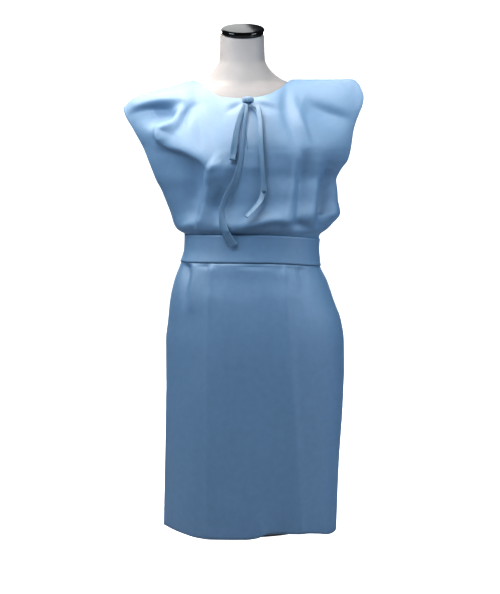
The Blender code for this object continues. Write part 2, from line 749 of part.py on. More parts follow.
def main():
    for obj in list(bpy.data.objects):
        bpy.data.objects.remove(obj)
    front_panel()
    back_panel()
    belt()
    bow()
    dress_form()
    neck_cap()
    stand()


main()
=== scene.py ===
"""Looks of an exam gown on a limbless dress form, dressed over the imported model.

Blender 4.5. The frame is in metres, +Z up, and the gown faces -Y. The tables below are in
millimetres, and "across" runs from -1 at the left side seam, as seen from the front, to 1 at the
right one.
"""

import json
import math

import bmesh
import bpy
import numpy as np
from mathutils import Matrix, Vector, noise
from mathutils.bvhtree import BVHTree

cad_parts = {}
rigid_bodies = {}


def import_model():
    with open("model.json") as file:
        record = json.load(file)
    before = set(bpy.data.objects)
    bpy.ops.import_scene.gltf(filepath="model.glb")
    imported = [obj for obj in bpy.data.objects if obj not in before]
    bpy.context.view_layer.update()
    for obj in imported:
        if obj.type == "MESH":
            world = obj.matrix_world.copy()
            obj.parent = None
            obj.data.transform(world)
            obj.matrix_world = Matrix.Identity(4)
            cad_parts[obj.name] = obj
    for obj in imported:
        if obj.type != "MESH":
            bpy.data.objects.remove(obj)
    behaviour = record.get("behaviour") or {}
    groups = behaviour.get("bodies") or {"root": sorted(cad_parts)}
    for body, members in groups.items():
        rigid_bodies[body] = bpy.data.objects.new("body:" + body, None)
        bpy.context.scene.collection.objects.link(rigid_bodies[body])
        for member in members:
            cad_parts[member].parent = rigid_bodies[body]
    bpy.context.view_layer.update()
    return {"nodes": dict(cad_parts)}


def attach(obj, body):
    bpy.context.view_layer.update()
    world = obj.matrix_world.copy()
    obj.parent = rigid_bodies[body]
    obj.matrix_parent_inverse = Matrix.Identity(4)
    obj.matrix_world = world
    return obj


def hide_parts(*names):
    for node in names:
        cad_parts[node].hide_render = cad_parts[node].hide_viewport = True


MM = 0.001


def table(names, *rows):
    """A table with named columns, as one array for each column."""
    return {name: np.array(column, float) for name, column in zip(names.split(), zip(*rows))}


# Cloth and seams
CLOTH = 1.2
SEAM = 0.3
TIE_CLOTH = 0.8

# Heights that the gown is built from
HEM = 10
BELT_BOTTOM = 638
BELT_TOP = 703
BUST = 880
BLADES = 890
HEM_FADE = 150

# The belt rides lower at its right side than at its left, and the cloth round it follows
BELT_DROP = (1, 11)
BELT_DROP_REACH = 75
FOLDS_FADE_NEAR_BELT = 9

# The belt's strip: it lies off the panels, waves a little round them, and laps over its own start
BELT_CLOTH = 1.6
BELT_LIFT = 0.75
BELT_ROWS = 16
BELT_BELOW_TOP = 3
BELT_WAVE = 0.35
BELT_WAVE_AROUND, BELT_WAVE_DOWN = 60, 90
BELT_LAP_COLUMNS = 9
BELT_LAP_RISE = 18

# Armholes: the lens between the free edges, from the left and right underarm to the shoulder's end
UNDERARM = (716, 746)
SHOULDER_END = (992, 1053)
ARMHOLE = {"front": 28, "back": 34}
ARMHOLE_ROUND = 1.2

# Neck slit, under the bow
SLIT_LENGTH = 118
SLIT_GAP = 3

# The gown's outline from the front
OUTLINE = table(
    "height left right",
    (10, -191, 218),
    (166, -187, 224),
    (309, -184, 233),
    (381, -183, 235),
    (452, -183, 234),
    (499, -178, 227),
    (546, -173, 210),
    (592, -163, 194),
    (632, -148, 176),
    (668, -137, 173),
    (698, -136, 176),
    (710, -154, 192),
    (721, -162, 203),
    (749, -170, 224),
    (779, -181, 218),
    (802, -190, 216),
    (825, -202, 213),
    (848, -211, 223),
    (871, -220, 239),
    (894, -229, 245),
    (940, -254, 252),
    (978, -275, 265),
    (992, -278, 271),
    (1013, -278, 275),
    (1040, -278, 267),
    (1053, -278, 258),
)

# Depth of the gown before and behind the side seams. A flat of 2 and a round of 0.5 are an ellipse
SECTIONS = table(
    "height front left_flat left_round right_flat right_round back back_flat back_round",
    (10, 126, 4, 1.15, 2.8, 0.36, 112, 2.6, 0.6),
    (309, 129, 3.8, 1.05, 2.8, 0.5, 122, 2.6, 0.6),
    (452, 131, 3.2, 0.85, 2.7, 0.48, 128, 2.5, 0.55),
    (546, 128, 2.7, 0.6, 2.5, 0.48, 124, 2.4, 0.5),
    (600, 122, 2.4, 0.5, 2.4, 0.48, 111, 2.2, 0.48),
    (634.8, 120, 2.3, 0.49, 2.3, 0.49, 104, 2.2, 0.48),
    (638, 116, 2.3, 0.5, 2.3, 0.5, 101, 2.2, 0.48),
    (668, 114, 2.3, 0.5, 2.3, 0.5, 98, 2.2, 0.48),
    (703, 115, 2.3, 0.5, 2.3, 0.5, 99, 2.2, 0.48),
    (712, 124, 2.2, 0.54, 2.2, 0.54, 107, 2.2, 0.52),
    (728, 129, 2.1, 0.62, 2.1, 0.62, 112, 2.1, 0.6),
    (780, 119, 2, 0.78, 2, 0.78, 113, 2.1, 0.72),
    (825, 121, 2, 0.88, 2, 0.88, 114, 2.1, 0.79),
    (860, 132, 2, 0.95, 2, 0.95, 117, 2.1, 0.83),
    (880, 138, 2.1, 0.98, 2.1, 0.98, 118, 2.2, 0.86),
    (890, 138, 2.1, 0.98, 2.1, 0.98, 118, 2.2, 0.86),
)

# Where the chest turns under, across the front
BUST_LINE = table(
    "across height",
    (-1.0, 902),
    (-0.78, 906),
    (-0.55, 884),
    (-0.41, 853),
    (-0.3, 857),
    (-0.14, 874),
    (0.02, 882),
    (0.25, 888),
    (0.6, 889),
    (1.0, 892),
)

# The top edges: shoulder seam, neckline, shoulder seam. A round of 2 is a quarter of an ellipse
# down to the bust line, and 1 is a straight slope
FRONT_TOP = table(
    "across x y height round",
    (-1.0, -278, 0, 992, 1.6),
    (-0.9, -252, 0, 1015, 1.95),
    (-0.72, -204, 0, 1030, 2),
    (-0.56, -154, 0, 1043, 1.75),
    (-0.43, -118, 0, 1054, 1.5),
    (-0.39, -107, -10, 1049, 1.45),
    (-0.31, -83, -45, 1031, 1.25),
    (-0.19, -51, -74, 1010, 1.2),
    (0.0, -2, -81, 1006, 1.4),
    (0.16, 41, -78, 1011, 1.4),
    (0.29, 78, -51, 1028, 1.4),
    (0.38, 101, -8, 1050, 1.4),
    (0.43, 112, 0, 1056, 1.4),
    (0.72, 190, 0, 1056, 1.3),
    (0.93, 246, 0, 1057, 1.35),
    (1.0, 258, 0, 1053, 1.6),
)
BACK_TOP = table(
    "across x y height round",
    (-1.0, -278, 0, 992, 1.9),
    (-0.9, -252, 0, 1015, 1.9),
    (-0.72, -204, 0, 1030, 1.9),
    (-0.56, -154, 0, 1043, 1.8),
    (-0.43, -118, 0, 1054, 1.6),
    (-0.38, -103, 14, 1050, 1.5),
    (-0.22, -62, 60, 1048, 1.4),
    (0.0, -3, 76, 1046, 1.35),
    (0.22, 56, 60, 1048, 1.4),
    (0.38, 98, 14, 1051, 1.5),
    (0.43, 112, 0, 1056, 1.6),
    (0.72, 190, 0, 1056, 1.9),
    (0.93, 246, 0, 1057, 1.9),
    (1.0, 258, 0, 1053, 1.9),
)

# Hem of the front: it hangs low at the left, steps up past the middle, and falls again at the right
FRONT_HEM = table(
    "across height",
    (-1.0, 11),
    (-0.8, 12),
    (-0.55, 9.5),
    (-0.05, 9.5),
    (0.08, 13),
    (0.17, 21),
    (0.24, 22),
    (0.6, 21),
    (0.76, 17),
    (0.9, 10),
    (1.0, 9),
)
BACK_HEM = table("across height", (-1.0, 11), (-0.3, 13), (0.4, 12), (1.0, 9))

# Right of the crease under the ledge the front hangs slack, and stands out of the hollow left of it.
# Its turn under the bust is eased too, up and down the cloth
SLACK = table(
    "height edge stands",
    (700, -108, 0),
    (722, -103, 1),
    (756, -95, 6),
    (803, -87, 10),
    (846, -80, 8),
    (872, -66, 2),
    (890, -56, 0),
)
SLACK_EDGE = 12
BUST_EASE = 20
EASE_STEP = 2
EASE_TOP = 1040
EASE_STARTS, EASE_ENDS = (738, 815), (920, 985)

# Rows of the grids up to the chest, as (from, to, spacing)
FRONT_BANDS = ((HEM, 600, 6.5), (600, BELT_BOTTOM, 3.2), (BELT_BOTTOM, BELT_TOP, 5), (BELT_TOP, BUST, 3.2))
BACK_BANDS = ((HEM, 600, 7.5), (600, BELT_BOTTOM, 4), (BELT_BOTTOM, BELT_TOP, 6.5), (BELT_TOP, BLADES, 4.5))
SIDE_CROWDING = 0.5

# Powers of the fades at the side seams and at the top edge
SIDE_FADE = 6
FOLDS_SIDE_FADE, FOLDS_TOP_FADE = 10, 5

# How many of its widths a fold reaches
FOLD_REACH = 2.5

# Unevenness of the cloth, broad and fine: its height, size across and size down
BROAD_CRUMPLE = (0.9, 55, 150)
FINE_CRUMPLE = (0.45, 22, 48)

# Folds, seen from the front: ridges stand out and troughs go in. The width above is on the left of
# the fold's direction of travel, and the width below is on its right. A crisp of 2 is a soft round
# fold, and 1 comes to an edge
FRONT_FOLDS = (
    # name, width above, width below, crisp, and its points as (x, z, how far it stands there)
    ("hollow under the left shoulder", 14, 40, 3,
     ((-266, 962, -5), (-240, 977, -14), (-206, 986, -19), (-172, 990, -18), (-150, 991, -9))),
    ("lower corner of that hollow", 26, 12, 2,
     ((-226, 955, -1), (-214, 955, -6), (-200, 959, -11), (-184, 967, -12), (-168, 979, -9),
      (-158, 992, -2))),
    ("left side of the lit chest", 14, 8, 1.8,
     ((-136, 1002, 3), (-150, 974, 6), (-168, 953, 10), (-193, 939, 12), (-188, 917, 10))),
    ("valley from the left of the neck", 15, 8, 1.8,
     ((-78, 1004, 0), (-97, 997, -2), (-116, 988, -5), (-131, 972, -8), (-139, 950, -7),
      (-152, 926, -2))),
    ("left ledge", 26, 6, 1.6,
     ((-190, 920, 8), (-172, 902, 11), (-132, 889, 12), (-106, 874, 11), (-90, 861, 7), (-80, 849, 2))),
    ("crease below the ledge", 18, 5, 1.4, ((-80, 852, 2), (-83, 822, 6), (-94, 756, 7), (-102, 722, 6))),
    ("recess left of the crease", 18, 22, 2, ((-112, 850, -4), (-108, 810, -7), (-116, 760, -5))),
    ("valley right of the neck", 14, 12, 2,
     ((84, 1016, -1), (92, 985, -4), (102, 950, -5), (116, 916, -4), (122, 890, -2))),
    ("ridge right of the neck", 11, 14, 1.9, ((112, 1005, 2), (121, 978, 4), (131, 944, 6), (143, 900, 3))),
    ("hollow under the right shoulder", 15, 30, 1.9,
     ((132, 998, -3), (156, 992, -11), (188, 980, -14), (222, 967, -11), (246, 956, -4))),
    ("dip at the right shoulder's end", 12, 12, 2, ((214, 1046, -1), (240, 1036, -4), (262, 1012, -3))),
    ("right ledge", 28, 20, 2, ((104, 880, 2), (150, 886, 4), (190, 894, 4), (225, 900, 2))),
    ("crease right of the knot", 7, 10, 1.8, ((26, 996, -4), (46, 990, -7), (68, 983, -5), (90, 974, -1))),
    ("crease left of the knot", 6, 8, 1.8, ((-6, 994, -4), (-20, 986, -6), (-36, 974, -1))),
    ("fold at the right of the middle", 16, 9, 1.6,
     ((112, 862, 2), (108, 830, 5), (102, 775, 6), (95, 726, 4))),
    ("trough beside it", 12, 12, 1.8, ((134, 872, -3), (131, 835, -8), (127, 780, -9), (122, 722, -5))),
    ("second fold at the right", 14, 10, 1.9, ((164, 862, 3), (158, 800, 6), (150, 722, 3))),
    ("deep trough at the right", 24, 13, 2.2,
     ((196, 848, -8), (190, 805, -34), (186, 762, -34), (178, 728, -10))),
    ("flap at the right", 12, 9, 1.8, ((216, 790, 3), (217, 765, 5), (212, 742, 3))),
    ("dip beside the left tail", 18, 20, 2, ((-48, 808, -2), (-52, 772, -7), (-50, 738, -5))),
    ("pouch over the belt", 13, 7, 1.9,
     ((-25, 712, 3), (0, 719, 6), (30, 726, 7), (70, 733, 7), (104, 731, 4))),
    ("dent right of the pouch", 9, 9, 2, ((116, 724, -5), (138, 719, -5), (154, 713, -2))),
    ("pouch at the left", 10, 8, 2, ((-145, 716, 3), (-125, 722, 5), (-104, 730, 3))),
    ("dip before the right tail", 16, 16, 2, ((30, 765, -3), (20, 745, -4), (8, 728, -2))),
    ("left gather under the belt", 9, 7, 1.6, ((-73, 632, 6), (-75, 600, 6), (-77, 545, 3), (-78, 500, 1))),
    ("right gather under the belt", 7, 9, 1.6, ((90, 632, 6), (91, 600, 5), (94, 545, 3), (96, 500, 1))),
    ("gap under the belt at the left", 7, 8, 1.9, ((-100, 635, -2), (-82, 634, -5), (-66, 635, -2))),
    ("gap under the belt in the middle", 7, 8, 1.9, ((-10, 634, -1), (26, 633, -3), (62, 632, -1))),
    ("gap beside the right gather", 6, 12, 1.9, ((80, 631, -2), (91, 630, -5), (102, 630, -2))),
    ("pocket at the left end of the belt", 9, 9, 1.9,
     ((-131, 640, -12), (-131, 618, -13), (-134, 585, -7), (-138, 540, -2))),
    ("roll beside the pocket", 9, 9, 1.8, ((-112, 630, 3), (-114, 600, 4), (-120, 540, 2))),
    ("pocket at the right end of the belt", 10, 10, 1.9, ((128, 622, -4), (132, 598, -4), (140, 550, -1))),
    ("left pressed crease", 26, 8, 1.3, ((-80, 560, 2), (-83, 375, 4), (-84, 200, 4), (-85, 12, 3))),
    ("right pressed crease", 11, 36, 1.5, ((97, 560, 2), (108, 375, 5), (122, 200, 6), (132, 12, 5))),
    ("soft dip in the skirt's left", 22, 22, 2, ((-30, 560, -1), (-38, 380, -3), (-36, 120, -2))),
    ("soft dip in the skirt's right", 26, 26, 2,
     ((60, 540, -1), (64, 330, -3), (78, 90, -4), (84, 20, -5))),
    ("roll by the hem's step", 9, 12, 1.8, ((38, 70, 0), (42, 36, 3), (45, 14, 4))),
)
BACK_FOLDS = (
    ("hollow under the left shoulder", 16, 16, 2,
     ((-250, 955, -3), (-236, 968, -7), (-200, 985, -8), (-150, 996, -4))),
    ("hollow under the right shoulder", 16, 16, 2,
     ((145, 1002, -4), (185, 990, -8), (226, 966, -7), (240, 950, -3))),
    ("left drag line", 18, 11, 1.6, ((-150, 960, 3), (-118, 905, 7), (-96, 825, 8), (-88, 728, 5))),
    ("right drag line", 11, 18, 1.6, ((165, 950, 3), (138, 905, 6), (120, 822, 8), (112, 728, 5))),
    ("middle trough", 22, 22, 2, ((-4, 960, -2), (8, 900, -5), (12, 820, -6), (16, 730, -4))),
    ("left inner fold", 12, 10, 1.7, ((-40, 930, 1), (-38, 850, 4), (-34, 728, 4))),
    ("right inner fold", 10, 12, 1.7, ((62, 925, 1), (66, 850, 3), (60, 728, 4))),
    ("dip by the left armhole", 14, 14, 2, ((-196, 880, -3), (-170, 800, -6), (-150, 735, -4))),
    ("dip by the right armhole", 14, 14, 2, ((206, 860, -3), (188, 795, -6), (170, 735, -4))),
    ("left gather under the belt", 9, 9, 1.6, ((-62, 632, 6), (-64, 590, 5), (-68, 520, 1))),
    ("middle gather under the belt", 8, 11, 1.6, ((14, 632, 4), (12, 595, 3), (8, 535, 1))),
    ("right gather under the belt", 9, 9, 1.6, ((88, 632, 6), (90, 592, 5), (94, 520, 1))),
    ("gap beside the left gather", 10, 8, 1.9, ((-84, 632, -4), (-86, 590, -3), (-90, 530, -1))),
    ("gap beside the right gather", 8, 10, 1.9, ((108, 632, -4), (110, 590, -3), (116, 530, -1))),
    ("left pressed crease", 24, 9, 1.3, ((-78, 540, 1), (-82, 340, 4), (-84, 12, 3))),
    ("right pressed crease", 9, 24, 1.3, ((110, 540, 1), (116, 320, 4), (120, 12, 3))),
    ("soft dip in the skirt", 28, 28, 2, ((14, 520, -1), (18, 330, -4), (22, 40, -4))),
)

# The two panels: columns, rows up to the chest, count of rows above it, folds, seed of the crumple
PANELS = {
    "front": (181, FRONT_BANDS, 66, FRONT_FOLDS, 3.7),
    "back": (151, BACK_BANDS, 50, BACK_FOLDS, 8.1),
}

# The bow: (x, z) down each ribbon, how far it stands off the front, its width, and how far it is
# turned edge on, in degrees
LOOP_LEFT = table(
    "x z lift width turn",
    (2, 991, 6.5, 7, 20),
    (-8, 962, 7, 11, 34),
    (-16, 930, 7, 12, 34),
    (-21, 900, 7, 13, 18),
    (-24, 869, 6, 13, -10),
)
LOOP_RIGHT = table(
    "x z lift width turn",
    (19, 991, 6.5, 8, -10),
    (33, 982, 6.5, 10, -22),
    (38, 945, 6.5, 10.5, -26),
    (41, 890, 6.5, 10.5, -26),
    (44, 835, 7, 10.5, -20),
    (46, 800, 8, 11, -10),
)
TAIL_LEFT = table(
    "x z lift width turn",
    (7, 991, 1.8, 7, 15),
    (2, 940, 1.5, 11, 50),
    (-4, 880, 2, 13, 45),
    (-18, 822, 2.5, 13, 20),
    (-37, 788, 2.5, 13, 10),
    (-49, 750, 3, 13, 35),
    (-46, 723, 4, 17, 10),
    (-37, 700, 5, 18, 0),
    (-20, 676, 5, 16, 0),
)
TAIL_RIGHT = table(
    "x z lift width turn",
    (14, 991, 1.8, 8, -10),
    (30, 975, 1.2, 10, -20),
    (37, 945, 1.2, 10.5, -24),
    (40, 890, 1.2, 10.5, -24),
    (43, 835, 1.5, 11, -20),
    (44, 806, 2, 12, -15),
    (40, 784, 5, 12, -25),
    (27, 764, 9, 12, -40),
    (5, 741, 12, 12, -45),
)
TIE_CURL = 0.8
TIE_PLACES = np.linspace(-1, 1, 9)
IN_FRONT = -1000

# A ribbon bridges what lies behind it over one in this many of its points each way, and it turns
# with the cloth only so far across, in depth and up
SPAN_SHARE = 14
FACING_FOLLOWS = (0.2, 1, 0.5)

# Loops: how far the upper ribbon stands off the lower one, pinched at the knot, open at the end
LOOP_SPREAD = 4.5
LOOP_PINCH = 0.45
LOOP_SWELL = 0.7
LOOP_END, LOOP_END_SPREAD = 0.8, 0.8
LOOP_BEND, LOOP_BEND_STEPS = 0.7, 7

# Small pleats out of the knot: how deep, how soon they die away, and their half waves to the edge
TAIL_PLEATS, LOOP_PLEATS = 0.8, 0.6
PLEATS_FADE = 5
PLEATS_WAVES = 2.2

# The knot, the wrap's creases round it, and the half width and radius of its cut, in metres
KNOT_PLACE = (10, 1000)
KNOT_SIZE = (25, 18, 17)
KNOT_SQUARE = 2.6
KNOT_LIFT = 0.1
KNOT_BEHIND = (-6, 0, 4)
KNOT_CREASE = 0.07
KNOT_CREASE_TURNS, KNOT_CREASE_SLANT = 9, 2.5
KNOT_CUT_WIDE, KNOT_CUT_ROUND = 0.012, 0.009

# The dress form: rings from its bottom to the top of its neck. The tilt leans a ring forward
FORM = table(
    "height middle half front back flat round tilt",
    (350, 8, 146, 100, 100, 2.2, 0.455, 0),
    (355, 8, 157, 110, 112, 2.2, 0.455, 0),
    (430, 8, 169, 114, 118, 2.2, 0.455, 0),
    (520, 8, 170, 110, 118, 2.2, 0.455, 0),
    (580, 7, 156, 102, 106, 2.2, 0.455, 0),
    (640, 6, 134, 95, 92, 2.2, 0.455, 0),
    (668, 6, 128, 93, 86, 2.2, 0.455, 0),
    (705, 5, 130, 96, 86, 2.2, 0.455, 0),
    (760, 4, 138, 104, 92, 2.2, 0.455, 0),
    (820, 2, 148, 114, 100, 2.2, 0.455, 0),
    (868, 1, 156, 120, 104, 2.2, 0.455, 0),
    (910, 0, 163, 114, 106, 2.2, 0.46, 0),
    (955, -1, 172, 95, 100, 2, 0.54, 0),
    (985, -2, 182, 82, 91, 2, 0.82, 0),
    (1006, -3, 184, 75, 83, 2, 1.1, 0),
    (1021, -3, 178, 69, 76, 2, 1.36, 0),
    (1033, -4, 162, 64, 70, 2, 1.6, 0),
    (1040, -4, 140, 61.5, 67, 2, 1.62, 0),
    (1047, -4, 114, 59.5, 65, 2, 1.45, 0),
    (1053, -4, 98, 58, 64, 2, 1.2, 0),
    (1060, -4, 85, 56.5, 63, 2, 0.96, 1),
    (1070, -4, 72, 54.5, 61, 2, 0.73, 2),
    (1084, -4, 60, 52.5, 58, 2, 0.55, 5),
    (1100, -4, 53, 51.7, 56, 2, 0.5, 9),
    (1125, -4, 51.5, 52.2, 55, 2, 0.5, 15),
    (1159.5, -4, 51, 54, 54, 2, 0.5, 20),
)
FORM_SIDES, FORM_RINGS = 120, 190
SHARP_EDGE = 50

# The cap on the neck: its chamfer below, its rounded edge above, and its slightly domed top
CAP_MIDDLE = -2.5
CAP_HALF, CAP_DEEPER, CAP_THICK = 50, 1.09, 12.5
CAP_CHAMFER, CAP_EDGE, CAP_CENTRE = 1.5, 5, 1
CAP_CROWN_RISE = 0.6
CAP_SIDES, CAP_EDGE_RINGS, CAP_TOP_RINGS = 96, 12, 8
CAP_GAP = 0.3

# Colours of the cloth, the light and the dark of its clouds, and its bond points' spacing in metres. The
# ties' blue is the gown's blue darkened: painted shade on ribbons of the same cloth
GOWN_BLUE = (0.058, 0.177, 0.332), (0.051, 0.161, 0.306)
TIE_SHADED_BLUE = (0.033, 0.136, 0.262), (0.029, 0.124, 0.24)
BOND_PITCH = 0.0021

# Lights, in metres and watts. The warm ones and over_front leave out the cap, which would mirror them
WARM, COOL = (1, 0.8, 0.64), (0.86, 0.93, 0.98)
LIGHTS = (
    # name, place, aim, size, power, colour, and whether it reaches the cap
    ("key", (0, -0.3, 1.85), (0, -0.05, 0.95), (0.5, 0.5), 7.8, WARM, False),
    ("over_left", (-0.4, -0.45, 1.8), (0, 0, 0.95), (0.5, 0.5), 4.4, WARM, False),
    ("over_right", (0.45, -0.4, 1.8), (0.1, 0, 0.95), (0.4, 0.4), 2.2, WARM, False),
    ("over_front", (-0.3, -0.9, 1.65), (-0.05, -0.1, 0.9), (0.4, 0.4), 6, (0.92, 0.95, 0.97), False),
    ("top_left", (-0.5, 0.1, 1.75), (-0.15, 0, 1), (0.4, 0.4), 7.5, WARM, False),
    ("neck_left", (-0.9, 0, 1.35), (-0.05, 0, 1.08), (0.3, 0.3), 2.2, WARM, False),
    ("right", (1.5, -0.8, 1.5), (0, 0, 0.9), (0.8, 1), 16, COOL, True),
    ("left", (-1.45, -0.75, 1.65), (0, 0, 1), (0.8, 1), 15.5, COOL, True),
    ("low_right", (1.3, -0.6, 0.2), (0.1, 0, 0.1), (0.4, 0.4), 1.2, (1, 0.96, 0.97), True),
    ("back_left", (-0.6, 2.4, 0.9), (0, 0, 0.75), (0.8, 1.2), 28, COOL, True),
    ("back_right", (0.6, 2.4, 0.9), (0, 0, 0.75), (0.8, 1.2), 28, COOL, True),
    ("card", (-0.75, 2.1, 2.5), (0, 0, 1.1), (1.6, 1.2), 5, (1, 1, 1), True),
)

# Camera, at the photograph's height and angle, and the lens for its frame
CAMERA_PLACE = (0.014, -2.8, 0.778)
CAMERA_PITCH = 4.6
CAMERA_LENS = 72.83


# Curves


def smooth_curve(places, values, at):
    """A monotone cubic through the values, level beyond both ends."""
    at = np.clip(at, places[0], places[-1])
    steps = np.diff(places)
    slopes = np.diff(values) / steps
    tangents = np.concatenate([slopes[:1], np.zeros(len(values) - 2), slopes[-1:]])
    before, after = slopes[:-1], slopes[1:]
    same = before * after > 0
    tangents[1:-1][same] = 2 * before[same] * after[same] / (before[same] + after[same])
    cell = np.clip(np.searchsorted(places, at, side="right") - 1, 0, len(steps) - 1)
    width = steps[cell]
    t = (at - places[cell]) / width
    start, end = values[cell], values[cell + 1]
    leave, arrive = tangents[cell] * width, tangents[cell + 1] * width
    blend = t * t * (3 - 2 * t)
    return start + blend * (end - start) + t * (1 - t) * ((1 - t) * leave - t * arrive)


def read(rows, column, at):
    """A table's column at any place along its first one."""
    return smooth_curve(next(iter(rows.values())), rows[column], at)


def places_along(steps):
    """Places along a line, out of the lengths of its steps."""
    return np.concatenate([[0], np.cumsum(steps)])


def soft_step(value, low, high):
    """From 0 at low to 1 at high, level at both ends."""
    t = np.clip((value - low) / (high - low), 0, 1)
    return t * t * (3 - 2 * t)


def unit(vectors):
    """Each vector at a length of 1."""
    return vectors / np.maximum(np.linalg.norm(vectors, axis=-1, keepdims=True), 1e-9)


def bands(rows):
    """Heights for the grid's rows, from the spacing of each band."""
    levels = [
        np.linspace(low, high, round((high - low) / spacing) + 1)[:-1]
        for low, high, spacing in rows
    ]
    return np.concatenate(levels + [[rows[-1][1]]])


# Form of the gown


def armhole(across, height, depth):
    """How far a free edge stands from the side's middle plane. Below the armhole it is half a seam."""
    low = np.where(across < 0, *UNDERARM)
    high = np.where(across < 0, *SHOULDER_END)
    share = np.clip((height - low) / (high - low), 0, 1)
    return SEAM / 2 + depth * np.sin(math.pi * share) ** ARMHOLE_ROUND


def from_belt(height):
    """How far a height lies above or below the belt."""
    return np.maximum(np.maximum(BELT_BOTTOM - height, height - BELT_TOP), 0)


def belt_drop(across, height):
    """How far the cloth sinks with the belt, most at the sides."""
    side = np.where(across < 0, *BELT_DROP) * across**2
    return side * (1 - soft_step(from_belt(height), 0, BELT_DROP_REACH))


def places_across(columns):
    """The columns of a panel, closer together towards its sides."""
    even = np.linspace(-1, 1, columns)
    crowded = (1 - SIDE_CROWDING) * even + SIDE_CROWDING * np.sin(even * math.pi / 2)
    return np.concatenate([[-1.0], crowded[1:-1], [1.0]])


def section_point(across, height, level, face):
    """A point of the panel below the chest. Level is the row's place in the table of sections."""
    left, right = read(OUTLINE, "left", height), read(OUTLINE, "right", height)
    x = (left + right) / 2 + (right - left) / 2 * across
    opening = armhole(across, height, ARMHOLE[face])
    depth = read(SECTIONS, face, level) - opening
    sides = ("left", "right") if face == "front" else ("back", "back")
    flat, rounding = (
        np.where(across < 0, *(read(SECTIONS, f"{side}_{name}", level) for side in sides))
        for name in ("flat", "round")
    )
    y = opening + depth * (1 - np.abs(across) ** flat) ** rounding
    return np.stack([x, -y if face == "front" else y, height], axis=-1)


def lower_rows(across, levels, face):
    """The panel from its hem to the chest, a row of points for each level."""
    across, level = np.broadcast_arrays(across[None, :], np.array(levels, float)[:, None])
    hem = read(FRONT_HEM if face == "front" else BACK_HEM, "height", across)
    top = read(BUST_LINE, "height", across) if face == "front" else BLADES
    height = level - belt_drop(across, level)
    height = height + (hem - HEM) * (1 - soft_step(level, HEM, HEM_FADE))
    rise = np.clip((level - BELT_TOP) / (levels[-1] - BELT_TOP), 0, 1)
    height = np.where(level > BELT_TOP, height + (top - levels[-1]) * rise, height)
    return section_point(across, height, level, face)


def chest_rows(across, bust, count, face):
    """The panel from its chest row up to the shoulder seams and the neckline."""
    rows = FRONT_TOP if face == "front" else BACK_TOP
    top = np.stack([read(rows, name, across) for name in ("x", "y", "height")], axis=-1)
    top[:, 1] += -SEAM / 2 if face == "front" else SEAM / 2
    power = 2 / read(rows, "round", across)
    turn = (np.arange(1, count + 1) / count * math.pi / 2)[:, None]
    rise, out = np.sin(turn) ** power, np.maximum(np.cos(turn), 0) ** power
    x = bust[:, 0] + (top[:, 0] - bust[:, 0]) * rise
    y = top[:, 1] + (bust[:, 1] - top[:, 1]) * out
    z = bust[:, 2] + (top[:, 2] - bust[:, 2]) * rise
    for side, name in ((0, "left"), (-1, "right")):
        miss = read(OUTLINE, name, z[:, side]) - x[:, side]
        x = x + miss[:, None] * np.where(across * across[side] > 0, across**SIDE_FADE, 0)
    return np.stack([x, y, z], axis=-1)


def slacken(points, across):
    """The front with its slack part brought out, and the turn under the bust there rounded over."""
    depth, height = points[..., 1], points[..., 2]
    beyond = points[..., 0] - read(SLACK, "edge", height)
    stands = read(SLACK, "stands", height) * soft_step(beyond, -SLACK_EDGE / 2, SLACK_EDGE / 2)
    stands = stands * (1 - across**SIDE_FADE)
    share = soft_step(beyond, 0, 3 * SLACK_EDGE)
    even = np.arange(BELT_TOP, EASE_TOP, EASE_STEP)
    away = np.arange(-3 * BUST_EASE, 3 * BUST_EASE + 1, EASE_STEP)
    weights = np.exp(-0.5 * (away / BUST_EASE) ** 2)
    weights = weights / weights.sum()
    soft = np.empty_like(depth)
    for column in range(len(across)):
        level = np.interp(even, height[:, column], depth[:, column])
        padded = np.pad(level, len(weights) // 2, mode="edge")
        soft[:, column] = np.interp(height[:, column], even, np.convolve(padded, weights, "valid"))
    reach = soft_step(height, *EASE_STARTS) * (1 - soft_step(height, *EASE_ENDS))
    slack = points.copy()
    slack[..., 1] += (soft - depth) * share * reach - stands
    return slack


def fold_line(points, spacing=6):
    """A fold's points joined by a smooth line of short steps, as columns x, z and height."""
    points = np.array(points, float)
    places = places_along(np.hypot(np.diff(points[:, 0]), np.diff(points[:, 1])))
    at = np.linspace(0, places[-1], round(places[-1] / spacing) + 1)
    return np.stack([smooth_curve(places, points[:, i], at) for i in range(3)], axis=-1)


def fold_height(x, z, folds):
    """How far all the folds together stand out, seen from the front."""
    total = np.zeros_like(x)
    for _, above, below, crisp, points in folds:
        line = fold_line(points)
        reach = FOLD_REACH * max(above, below)
        low, high = line[:, :2].min(axis=0) - reach, line[:, :2].max(axis=0) + reach
        near = (x > low[0]) & (x < high[0]) & (z > low[1]) & (z < high[1])
        px, pz = x[near], z[near]
        nearest = np.full(px.shape, np.inf)
        stands = np.zeros_like(px)
        for (x0, z0, h0), (x1, z1, h1) in zip(line, line[1:]):
            run = math.hypot(x1 - x0, z1 - z0)
            along = np.clip(((px - x0) * (x1 - x0) + (pz - z0) * (z1 - z0)) / run**2, 0, 1)
            dx, dz = px - x0 - along * (x1 - x0), pz - z0 - along * (z1 - z0)
            away = np.hypot(dx, dz)
            side = (dz * (x1 - x0) - dx * (z1 - z0)) / np.maximum(away * run, 1e-6)
            width = (above + below) / 2 + (above - below) / 2 * side
            height = h0 + (h1 - h0) * along
            closer = away < nearest
            nearest = np.where(closer, away, nearest)
            stands = np.where(closer, height * np.exp(-((away / width) ** crisp)), stands)
        total[near] += stands
    return total


